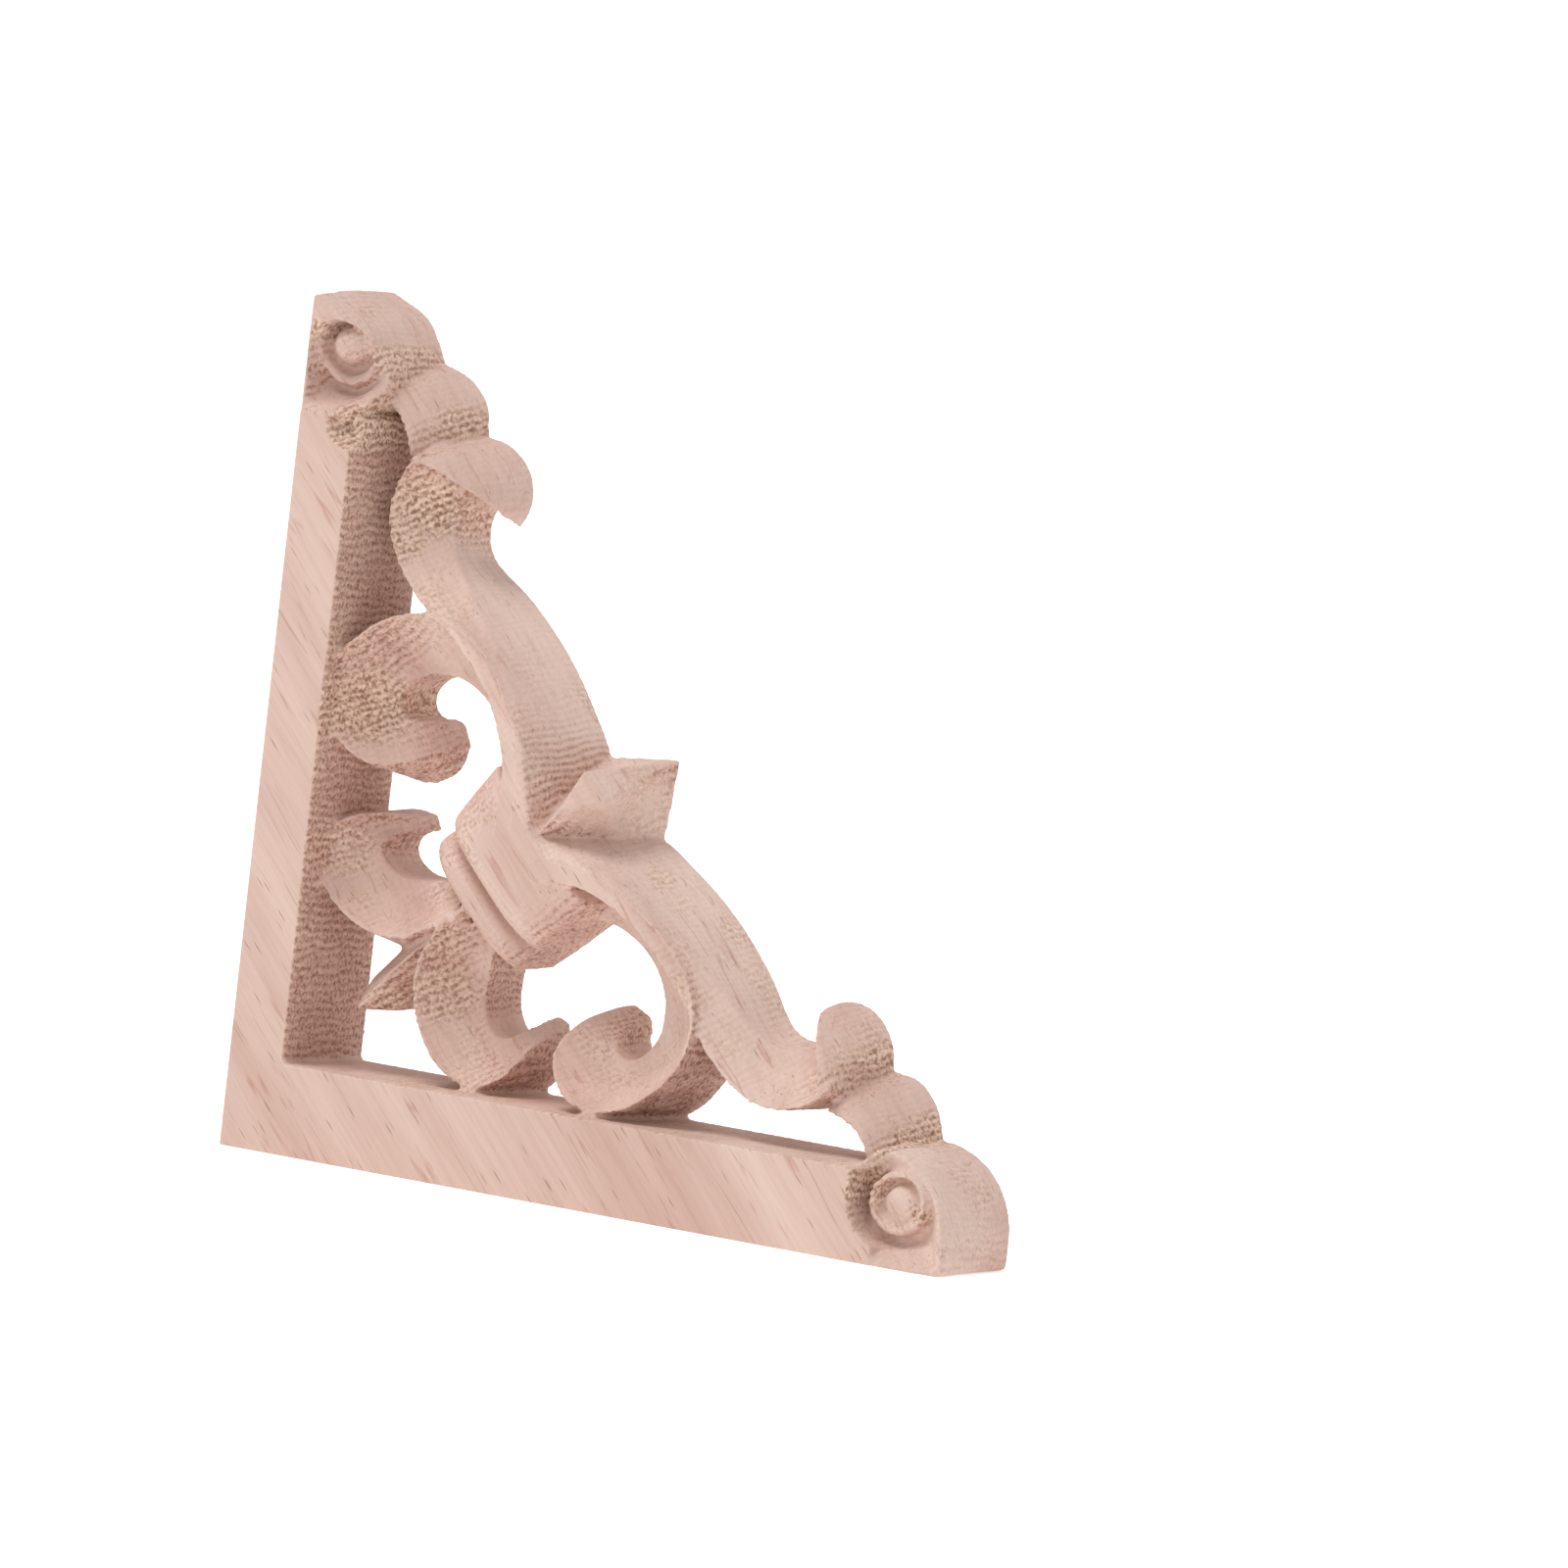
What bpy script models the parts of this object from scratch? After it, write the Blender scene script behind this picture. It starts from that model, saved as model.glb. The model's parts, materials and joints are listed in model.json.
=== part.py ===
"""Carved corner onlay: an L frame with mirrored scrollwork in the angle.

All sizes are written in millimetres. The drawing frame has x to the right along the
bottom bar, z up along the upright bar and y back from the planed faces of the bars.
The carving is one member, drawn for the upright side and mirrored across the
45 degree diagonal (x and z swapped) for the bottom side.
"""
import math

import bmesh
import bpy
import numpy as np
from mathutils import Vector

MM = 0.001

# Board and bars
BACK = 17.0            # thickness of the board; the flat back lies at this depth
LEFT = 3.2             # outer side of the upright bar
INNER_X = 11.0         # inner side of the upright bar
BOTTOM = -1.5          # underside of the bottom bar
INNER_Z = 9.4          # upper side of the bottom bar
BAR_END = 86.7         # where each bar runs into its end volute
STEPS = 4              # facets between two stations of a curve
LAND = 0.5             # flat edge left under every slope that reaches the back
ROOT = BACK + 3.0      # every piece of carving runs on to here and is planed off at BACK

WOOD = (0.79, 0.58, 0.46, 1.0)

# Big scroll: outer rim, then the lip of its opening, from the collar round to the tip
C_RIM = [(38.3, 41.0, 1.8), (38.4, 46.0, 1.8), (36.6, 52.8, 2.2), (31.6, 60.0, 3.4),
         (24.5, 64.2, 4.6), (17.0, 63.8, 3.8), (11.6, 59.2, 1.8), (10.1, 53.6, 1.1),
         (11.6, 48.6, 2.4), (16.0, 45.8, 4.6), (19.9, 47.0, 9.0), (21.6, 49.0, 16.2)]
C_LIP = [(31.6, 41.0, 9.6), (31.8, 45.5, 9.6), (31.0, 50.3, 9.6), (28.2, 54.6, 9.7),
         (24.0, 57.0, 9.9), (19.6, 57.0, 9.8), (16.8, 55.3, 9.2), (16.1, 53.6, 8.9),
         (16.6, 52.2, 8.8), (18.0, 51.5, 9.4), (19.4, 51.6, 12.0), (20.6, 51.2, 16.4)]
C_DRAFT = [0.0, 0.0, 0.0, 0.0, 0.0, 0.0, 0.6, 1.4, 2.2, 2.4, 2.0, 0.3]

# S band: rim on the bar side, crest, and the outline it falls to on the back
S_RIM = [(17.0, 83.4, 5.6), (14.8, 80.6, 5.5), (13.7, 76.6, 5.5), (14.5, 71.8, 5.6),
         (18.6, 66.4, 5.5), (25.4, 62.0, 4.4), (32.0, 56.2, 2.8), (35.6, 49.0, 2.1),
         (36.0, 40.4, 2.1)]
S_CREST = [(19.2, 82.6, 7.6), (20.3, 79.6, 10.6), (20.1, 76.2, 10.6), (21.0, 72.0, 9.8),
           (25.6, 66.8, 7.8), (31.6, 61.0, 5.4), (36.6, 54.0, 3.2), (39.0, 47.6, 2.2),
           (40.8, 40.2, 2.3)]
S_BACK = [(22.6, 83.4), (23.0, 79.4), (21.2, 75.4), (22.3, 71.2), (28.4, 66.8), (34.4, 61.0),
          (38.8, 55.0), (41.8, 49.6), (43.4, 41.2)]

# Leaf curl at the top of the S band: front arris down to the tip, and its outline
CURL_EDGE = [(15.6, 82.2, 5.4), (19.0, 83.2, 6.6), (20.6, 81.6, 9.2), (21.2, 79.2, 12.0),
             (22.4, 76.8, 14.6), (24.6, 75.2, 16.4)]
CURL_BACK = [(17.4, 85.6), (22.2, 85.0), (25.4, 82.6), (26.5, 79.8), (26.2, 77.2), (25.0, 75.2)]

# Scallop beside the slot end: arris round the slot, and its outline
HOOK_EDGE = [(5.5, 91.2, 5.4), (9.4, 89.6, 6.2), (12.0, 87.6, 6.8), (13.2, 84.8, 7.2),
             (13.6, 81.8, 7.6)]
HOOK_BACK = [(6.5, 94.0), (12.0, 93.3), (16.2, 91.8), (18.9, 88.6), (19.3, 84.6)]

# End volutes: centre, boss, then the front all round it. Each row has the angle in degrees,
# radius and depth of the wire, depth of the groove inside it, radius and depth of the front
# arris, depth between wire and arris, and radius of the outline on the back.
# Straight sides and the bar cut the rows off where they reach further.
EYE_TOP = (6.5, 94.4)
EYE_TOP_BOSS = (2.5, 2.3, 1.3)        # radius, depth of its front, fall to its edge
VOLUTE_TOP = [(-150, 3.2, 4.0, 4.6, 4.5, 0.4, 3.6, 4.5),
              (-126, 3.9, 4.3, 5.0, 8.0, 0.2, 4.4, 8.0),
              (-112, 4.1, 4.5, 5.2, 9.5, 0.0, 4.8, 9.5),
              (-90, 4.2, 4.8, 5.5, 9.0, 0.0, 5.2, 9.0),
              (-70, 4.1, 4.9, 5.6, 9.0, 1.2, 5.6, 9.0),
              (-50, 4.0, 5.0, 5.7, 6.2, 6.2, 6.0, 6.2),
              (-25, 3.8, 4.8, 5.5, 4.1, 5.6, 5.3, 5.8),
              (3, 3.5, 4.3, 5.1, 3.7, 4.9, 4.6, 5.2),
              (30, 3.4, 3.7, 4.8, 3.6, 4.3, 4.0, 4.5),
              (49, 3.3, 3.1, 4.6, 3.6, 3.6, 3.3, 4.35),
              (70, 3.2, 2.4, 4.4, 3.8, 2.9, 2.5, 4.8),
              (97, 3.3, 1.6, 4.2, 4.1, 2.0, 1.7, 5.35),
              (112, 3.3, 1.1, 4.2, 5.0, 1.2, 1.1, 6.25),
              (124, 3.3, 0.7, 4.2, 6.3, 0.6, 0.7, 7.2),
              (137, 3.2, 0.5, 4.2, 6.0, 0.4, 0.45, 6.0),
              (165, 3.0, 0.4, 4.0, 4.5, 0.2, 0.3, 4.5),
              (190, 3.0, 0.6, 4.2, 4.5, 0.2, 0.4, 4.5)]
EYE_END = (6.7, 94.3)
EYE_END_BOSS = (1.5, 2.8, 0.6)
VOLUTE_END = [(-138, 2.9, 3.0, 4.3, 13.0, 0.1, 4.0, 13.0),
              (-120, 2.9, 3.1, 4.4, 12.0, 0.0, 4.8, 12.0),
              (-90, 2.9, 3.2, 4.5, 12.0, 0.0, 5.4, 12.0),
              (-60, 2.9, 3.2, 4.5, 9.0, 1.2, 5.8, 9.0),
              (-40, 2.9, 3.1, 4.4, 4.6, 6.0, 5.0, 4.8),
              (-20, 2.9, 3.0, 4.4, 3.6, 4.8, 4.4, 5.7),
              (0, 2.9, 2.9, 4.3, 3.3, 4.2, 3.9, 5.0),
              (17, 2.9, 2.8, 4.2, 3.2, 4.0, 3.8, 4.9),
              (50, 2.9, 2.7, 4.1, 3.7, 3.7, 3.5, 5.0),
              (88, 2.9, 2.6, 4.0, 4.6, 3.3, 3.2, 6.3),
              (104, 2.9, 2.6, 4.0, 6.1, 2.7, 3.1, 8.1),
              (121, 2.9, 2.6, 4.0, 8.2, 1.8, 3.1, 10.4),
              (137, 2.9, 2.7, 4.0, 11.4, 0.9, 3.1, 12.0),
              (150, 2.9, 2.8, 4.1, 12.0, 0.7, 3.2, 12.0),
              (180, 2.9, 2.9, 4.2, 12.0, 0.5, 3.5, 12.0),
              (210, 2.9, 3.0, 4.3, 13.0, 0.3, 3.8, 13.0)]
VOLUTE_FOOT = 86.4
ROLL_SHAPE = [(0.45, 8.0), (0.8, 13.2), (1.0, BACK - LAND), (1.0, ROOT)]
VOLUTE_TURNS = 40

# Corner scroll, from the diagonal round to its tip
N_RIM = [(29.0, 29.0, 3.0), (23.5, 26.3, 3.0), (17.6, 26.7, 3.2), (12.4, 29.8, 3.5),
         (10.0, 34.4, 4.0), (11.4, 38.4, 4.8), (15.0, 40.0, 8.0), (18.2, 39.8, 15.8)]
N_LIP = [(29.0, 34.0, 9.0), (22.5, 32.8, 9.2), (18.8, 33.0, 9.0), (16.5, 34.4, 8.6),
         (15.9, 36.0, 8.6), (16.6, 37.2, 9.4), (17.6, 37.8, 12.0), (18.8, 38.2, 16.0)]
N_DRAFT = [3.0, 3.4, 3.2, 2.2, 1.4, 0.8, 0.4, 0.2]

# Pointed leaf in the corner and the leaf between the two S bands
STAR_TIP = (16.6, 5.8)
STAR_ROOT = (29.0, 3.6)
STAR_SIDE = (16.9, 20.2, 8.2)
STAR_EDGE = (20.4, 24.8, 9.6)
LEAF_ROOT = (41.0, 1.2)
LEAF_CREST = (45.4, 4.6)
LEAF_TIP = (51.2, 16.4)
LEAF_NOTCH = (41.7, 50.4)

# Collar across the diagonal: profile along the diagonal, then its width and crown
COLLAR = [(43.0, ROOT), (43.0, 6.6), (43.7, 5.2), (45.0, 4.5), (46.4, 5.0), (47.1, 6.2),
          (47.7, 6.0), (48.0, 4.0), (49.2, 2.9), (52.0, 2.4), (58.0, 1.9), (60.0, ROOT)]
COLLAR_HALF = 8.8
COLLAR_FLARE = 0.10
COLLAR_CROWN = 2.6


def spline(points, steps=STEPS):
    """Smooth curve through the points, as cubic Bezier spans with shared tangents."""
    pts = [Vector(p) for p in points]
    out = []
    for i in range(len(pts) - 1):
        before = pts[max(i - 1, 0)]
        after = pts[min(i + 2, len(pts) - 1)]
        a, b = pts[i], pts[i + 1]
        h1 = a + (b - before) / 6.0
        h2 = b - (after - a) / 6.0
        for k in range(steps):
            t = k / steps
            s = 1.0 - t
            out.append(a * s ** 3 + h1 * 3 * s * s * t + h2 * 3 * s * t * t + b * t ** 3)
    out.append(pts[-1])
    return out


def place(x, z, y, mirror):
    return (z, y, x) if mirror else (x, y, z)


def solid(name, rings, mirror=False):
    """Closed solid lofted through rings of (x, z, y) points, capped at both ends."""
    bm = bmesh.new()
    layers = [[bm.verts.new(place(*p, mirror)) for p in ring] for ring in rings]
    for lower, upper in zip(layers, layers[1:]):
        for i in range(len(lower)):
            j = (i + 1) % len(lower)
            bm.faces.new((lower[i], lower[j], upper[j], upper[i]))
    bm.faces.new(list(reversed(layers[0])))
    bm.faces.new(layers[-1])
    bm.normal_update()
    bmesh.ops.triangulate(bm, faces=bm.faces[:])
    bmesh.ops.recalc_face_normals(bm, faces=bm.faces[:])
    mesh = bpy.data.meshes.new(name)
    bm.to_mesh(mesh)
    bm.free()
    obj = bpy.data.objects.new(name, mesh)
    bpy.context.scene.collection.objects.link(obj)
    return obj


def prism(name, outline, near, far, mirror=False):
    """Straight extrusion of an (x, z) outline between two depths."""
    return solid(name, [[(x, z, near) for x, z in outline], [(x, z, far) for x, z in outline]],
                 mirror)


def across(rim, lip, share, dish):
    """Point on the dished face between rim and lip."""
    p = rim.lerp(lip, share)
    p.z = rim.z + (lip.z - rim.z) * math.sin(share * math.pi / 2) ** dish
    return tuple(p)


def outward(rim, lip, amount):
    """Point on the back, pushed away from the lip by the draft of the wall."""
    away = Vector((rim.x - lip.x, rim.y - lip.y))
    away.normalize()
    return (rim.x + away.x * amount, rim.y + away.y * amount, ROOT)


def scroll(name, rim, lip, draft, mirror):
    """Dished scroll band with a wall on each side, running to the flat back."""
    rims, lips = spline(rim), spline(lip)
    drafts = [p.x for p in spline([(d, 0.0, 0.0) for d in draft])]
    rings = []
    for r, l, d in zip(rims, lips, drafts):
        rings.append([outward(r, l, d), tuple(r), across(r, l, 0.33, 0.9),
                      across(r, l, 0.66, 0.9), tuple(l), (l.x, l.y, ROOT)])
    return solid(name, rings, mirror)


def s_band(mirror):
    rims, crests = spline(S_RIM), spline(S_CREST)
    backs = spline([(x, z, BACK - LAND) for x, z in S_BACK])
    rings = []
    for r, c, b in zip(rims, crests, backs):
        rings.append([(r.x, r.y, ROOT), tuple(r), across(r, c, 0.5, 0.8), tuple(c), tuple(b),
                      (b.x, b.y, ROOT)])
    return solid("s_band", rings, mirror)


def fan(name, edge, back, mirror):
    """Rolled leaf: arris in front, outline on the back, bulging slope between them."""
    edges = spline(edge)
    backs = spline([(x, z, BACK - LAND) for x, z in back])
    rings = []
    for e, b in zip(edges, backs):
        middle = e.lerp(b, 0.55)
        middle.z -= 0.14 * (b.z - e.z)
        rings.append([(e.x, e.y, ROOT), tuple(e), tuple(middle), tuple(b), (b.x, b.y, ROOT)])
    return solid(name, rings, mirror)


def around(rows, count):
    """Rows of an angle table at even steps round the circle, with their kinks softened."""
    angles = [r[0] for r in rows] + [rows[0][0] + 360.0]
    steps = np.arange(count) * 360.0 / count
    spots = (steps - angles[0]) % 360.0 + angles[0]
    columns = []
    for i in range(1, len(rows[0])):
        values = np.interp(spots, angles, [r[i] for r in rows] + [rows[0][i]])
        for _ in range(1):
            values = 0.25 * np.roll(values, 1) + 0.5 * values + 0.25 * np.roll(values, -1)
        columns.append(values)
    return np.radians(steps), columns


def volute(mirror):
    """End volute in rings round its eye: boss, groove, wire, front, then roll to the back."""
    centre = EYE_END if mirror else EYE_TOP
    radius, front, fall = EYE_END_BOSS if mirror else EYE_TOP_BOSS
    turns, columns = around(VOLUTE_END if mirror else VOLUTE_TOP, VOLUTE_TURNS)
    wire, wire_y, groove_y, arris, arris_y, cove_y, back = columns
    side = centre[0] - (BOTTOM if mirror else LEFT)
    foot = centre[1] - VOLUTE_FOOT
    limit = np.minimum(side / np.maximum(-np.cos(turns), 0.01),
                       foot / np.maximum(-np.sin(turns), 0.01))
    arris, back = np.minimum(arris, limit), np.minimum(back, limit)
    still = np.ones_like(turns)
    inner = radius + 0.15
    gap, span = wire - inner, arris - wire
    stack = [(radius * s * still, (front + fall * s ** 3) * still)
             for s in (0.05, 0.5, 0.8)]
    stack += [(inner + 0.2 * gap, groove_y), (wire, wire_y),
              (wire + 0.1 * span, cove_y),
              (wire + 0.5 * span, 0.5 * cove_y + 0.5 * arris_y),
              (wire + 0.75 * span, 0.12 * cove_y + 0.88 * arris_y), (arris, arris_y)]
    stack += [(arris + (back - arris) * s, depth * still) for s, depth in ROLL_SHAPE]
    rings = [[(centre[0] + r * math.cos(t), centre[1] + r * math.sin(t), y)
              for t, r, y in zip(turns, rs, ys)] for rs, ys in stack]
    return solid("volute", rings, mirror)


def star():
    tip = (STAR_TIP[0], STAR_TIP[0], STAR_TIP[1])
    root = (STAR_ROOT[0], STAR_ROOT[0], STAR_ROOT[1])
    side, edge = STAR_SIDE, STAR_EDGE
    front = [tip, (side[1], side[0], side[2]), (edge[1], edge[0], edge[2]), root, edge, side]
    bm = bmesh.new()
    top = [bm.verts.new((x, y, z)) for x, z, y in front]
    low = [bm.verts.new((x, ROOT, z)) for x, z, _ in front]
    ridge = bm.verts.new((21.5, 4.6, 21.5))
    n = len(front)
    for i in range(n):
        j = (i + 1) % n
        bm.faces.new((top[i], top[j], ridge))
        bm.faces.new((top[j], top[i], low[i], low[j]))
    bm.faces.new(low)
    return finish("star", bm)


def leaf():
    tip = (LEAF_TIP[0], LEAF_TIP[0])
    root = (LEAF_ROOT[0], LEAF_ROOT[0])
    a = LEAF_NOTCH
    b = (a[1], a[0])
    bm = bmesh.new()

    def vert(x, z, y):
        return bm.verts.new((x, y, z))
    low = [vert(33.0, 33.0, ROOT), vert(*b, ROOT), vert(*tip, ROOT), vert(*a, ROOT)]
    heart = vert(*root, LEAF_ROOT[1])
    crest = vert(LEAF_CREST[0], LEAF_CREST[0], LEAF_CREST[1])
    point = vert(*tip, LEAF_TIP[1])
    left = vert(a[0] - 0.2, a[1] - 3.6, 11.0)
    right = vert(b[0] - 3.6, b[1] - 0.2, 11.0)
    base = vert(35.6, 35.6, 5.0)
    for loop in ((low[0], low[1], low[2], low[3]), (base, heart, left), (base, right, heart),
                 (heart, crest, left), (heart, right, crest), (crest, point, left),
                 (crest, right, point), (left, point, low[2], low[3]),
                 (right, low[1], low[2], point), (base, left, low[3], low[0]),
                 (base, low[0], low[1], right)):
        bm.faces.new(loop)
    return finish("leaf", bm)


def finish(name, bm):
    bm.normal_update()
    bmesh.ops.triangulate(bm, faces=bm.faces[:])
    bmesh.ops.recalc_face_normals(bm, faces=bm.faces[:])
    mesh = bpy.data.meshes.new(name)
    bm.to_mesh(mesh)
    bm.free()
    obj = bpy.data.objects.new(name, mesh)
    bpy.context.scene.collection.objects.link(obj)
    return obj


def collar():
    """Bead and step across the diagonal, crowned so that both ends fall back."""
    half = math.sqrt(0.5)
    rings = []
    for k in range(-6, 7):
        share = k / 6
        ring = []
        for p, y in COLLAR:
            q = share * (COLLAR_HALF + COLLAR_FLARE * (p - COLLAR[0][0]))
            deep = y if y == ROOT else y + COLLAR_CROWN * share ** 4
            ring.append(((p - q) * half, (p + q) * half, deep))
        rings.append(ring)
    return solid("collar", rings)


def combine(body, other, operation):
    mod = body.modifiers.new("join", "BOOLEAN")
    mod.operation = operation
    mod.solver = "MANIFOLD"
    mod.object = other
    graph = bpy.context.evaluated_depsgraph_get()
    mesh = bpy.data.meshes.new_from_object(body.evaluated_get(graph))
    body.modifiers.clear()
    body.data = mesh
    bpy.data.objects.remove(other)


def build():
    for obj in list(bpy.data.objects):
        bpy.data.objects.remove(obj)
    frame = [(LEFT, BOTTOM), (BAR_END, BOTTOM), (BAR_END - 1.0, INNER_Z), (INNER_X, INNER_Z),
             (INNER_X, BAR_END - 1.0), (LEFT, BAR_END)]
    body = prism("corner_onlay", frame, 0.0, ROOT)
    parts = []
    for mirror in (False, True):
        parts += [volute(mirror), fan("hook", HOOK_EDGE, HOOK_BACK, mirror),
                  fan("curl", CURL_EDGE, CURL_BACK, mirror), s_band(mirror),
                  scroll("c_scroll", C_RIM, C_LIP, C_DRAFT, mirror),
                  scroll("corner_scroll", N_RIM, N_LIP, N_DRAFT, mirror)]
    parts += [star(), collar(), leaf()]
    for part in parts:
        combine(body, part, "UNION")
    waste = [(-20.0, -20.0), (120.0, -20.0), (120.0, 120.0), (-20.0, 120.0)]
    combine(body, prism("waste", waste, BACK, ROOT + 5.0), "DIFFERENCE")
    bm = bmesh.new()
    bm.from_mesh(body.data)
    low = [min(v.co[i] for v in bm.verts) for i in range(3)]
    high = [max(v.co[i] for v in bm.verts) for i in range(3)]
    shift = Vector(((low[0] + high[0]) / 2, (low[1] + high[1]) / 2, low[2]))
    for v in bm.verts:
        v.co = (v.co - shift) * MM
    bm.normal_update()
    bmesh.ops.triangulate(bm, faces=bm.faces[:])
    bm.to_mesh(body.data)
    bm.free()
    wood = bpy.data.materials.new("wood")
    wood.use_nodes = True
    shader = wood.node_tree.nodes["Principled BSDF"]
    shader.inputs["Base Color"].default_value = WOOD
    shader.inputs["Roughness"].default_value = 0.7
    body.data.materials.clear()
    body.data.materials.append(wood)


build()
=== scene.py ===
"""Looks of the carved corner onlay: full relief, raw open-pored wood, floor, light, camera.

The carving is written in millimetres in the drawing frame of the solid: x to the right
along the bottom bar, z up along the upright bar, y back from the planed faces. The upper
member is drawn and mirrored across the 45 degree diagonal for the lower one.
"""
import json
import math

import bmesh
import bpy
import numpy as np
from mathutils import Matrix, Vector

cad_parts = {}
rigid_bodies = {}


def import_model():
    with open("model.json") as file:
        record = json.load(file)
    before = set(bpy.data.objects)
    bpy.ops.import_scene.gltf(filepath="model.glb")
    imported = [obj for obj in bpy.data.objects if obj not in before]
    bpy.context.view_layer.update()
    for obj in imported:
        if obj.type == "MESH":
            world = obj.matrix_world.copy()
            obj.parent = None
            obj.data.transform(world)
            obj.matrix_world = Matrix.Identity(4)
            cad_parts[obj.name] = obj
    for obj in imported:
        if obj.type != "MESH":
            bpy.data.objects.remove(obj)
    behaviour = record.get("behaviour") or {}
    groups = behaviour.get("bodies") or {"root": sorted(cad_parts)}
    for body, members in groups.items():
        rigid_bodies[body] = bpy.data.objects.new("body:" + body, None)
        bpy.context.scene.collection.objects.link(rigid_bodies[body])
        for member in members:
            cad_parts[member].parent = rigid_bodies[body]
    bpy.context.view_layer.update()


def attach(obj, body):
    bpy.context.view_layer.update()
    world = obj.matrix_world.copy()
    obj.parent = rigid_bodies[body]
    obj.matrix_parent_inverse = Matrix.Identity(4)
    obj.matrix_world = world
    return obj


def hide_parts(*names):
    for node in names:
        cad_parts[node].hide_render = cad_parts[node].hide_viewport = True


MM = 0.001
NODE = "corner_onlay"                   # node of the solid that the piece stands for
SHIFT = Vector((53.15, 8.5, -1.5))     # drawing frame minus this is the row frame, in mm

# Board and bars
BACK = 17.0            # thickness of the board; the flat back lies at this depth
LEFT = 3.2             # outer side of the upright bar
INNER_X = 11.0         # inner side of the upright bar
BOTTOM = -1.5          # underside of the bottom bar
INNER_Z = 9.4          # upper side of the bottom bar
BAR_END = 86.7         # where the upright bar runs into its end volute
STEPS = 10             # facets between two stations of a curve
LAND = 0.5             # flat edge left under every slope that reaches the back

# Big scroll: outer rim, then the lip of its opening, from the collar round to the tip
C_RIM = [(38.3, 41.0, 1.8), (38.4, 46.0, 1.8), (36.6, 52.8, 2.2), (31.6, 60.0, 3.4),
         (24.5, 64.2, 4.6), (17.0, 63.8, 3.8), (11.6, 59.2, 1.8), (10.1, 53.6, 1.1),
         (11.6, 48.6, 2.4), (16.0, 45.8, 4.6), (19.9, 47.0, 9.0), (21.6, 49.0, 16.2)]
C_LIP = [(31.6, 41.0, 9.6), (31.8, 45.5, 9.6), (31.0, 50.3, 9.6), (28.2, 54.6, 9.7),
         (24.0, 57.0, 9.9), (19.6, 57.0, 9.8), (16.8, 55.3, 9.2), (16.1, 53.6, 8.9),
         (16.6, 52.2, 8.8), (18.0, 51.5, 9.4), (19.4, 51.6, 12.0), (20.6, 51.2, 16.4)]
C_DRAFT = [0.0, 0.0, 0.0, 0.0, 0.0, 0.0, 0.6, 1.4, 2.2, 2.4, 2.0, 0.3]
SCROLL_DISH = 0.9      # the smaller this power, the steeper the dish starts at the rim
SCROLL_FACETS = 6

# S band: rim on the bar side, crest, and the outline it falls to on the back
S_RIM = [(17.0, 83.4, 5.6), (14.8, 80.6, 5.5), (13.7, 76.6, 5.5), (14.5, 71.8, 5.6),
         (18.6, 66.4, 5.5), (25.4, 62.0, 4.4), (32.0, 56.2, 2.8), (35.6, 49.0, 2.1),
         (36.0, 40.4, 2.1)]
S_CREST = [(19.2, 82.6, 7.6), (20.3, 79.6, 10.6), (20.1, 76.2, 10.6), (21.0, 72.0, 9.8),
           (25.6, 66.8, 7.8), (31.6, 61.0, 5.4), (36.6, 54.0, 3.2), (39.0, 47.6, 2.2),
           (40.8, 40.2, 2.3)]
S_BACK = [(22.6, 83.4), (23.0, 79.4), (21.2, 75.4), (22.3, 71.2), (28.4, 66.8), (34.4, 61.0),
          (38.8, 55.0), (41.8, 49.6), (43.4, 41.2)]
S_DISH = 0.8
S_FACETS = 5

# Leaf curl at the top of the S band: front arris down to the tip, and its outline
CURL_EDGE = [(15.6, 82.2, 5.4), (18.6, 81.6, 5.8), (21.0, 80.4, 6.8), (23.2, 78.9, 8.8),
             (24.7, 77.1, 12.0), (25.0, 75.2, 16.2)]
CURL_BACK = [(17.4, 85.6), (22.2, 85.0), (25.4, 82.6), (26.5, 79.8), (26.2, 77.2),
             (25.0, 75.2)]

# Scallop beside the slot end: arris round the slot, and its outline
HOOK_EDGE = [(5.5, 91.2, 5.4), (9.4, 89.6, 6.2), (12.2, 87.6, 6.8), (13.7, 85.0, 7.2),
             (14.4, 82.3, 7.6)]
HOOK_BACK = [(6.5, 94.0), (12.0, 93.3), (16.2, 91.8), (18.9, 88.6), (19.2, 83.2)]
FAN_BULGE = 0.56       # swell of curl and scallop in front of a straight slope
FAN_FACETS = 7

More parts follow.
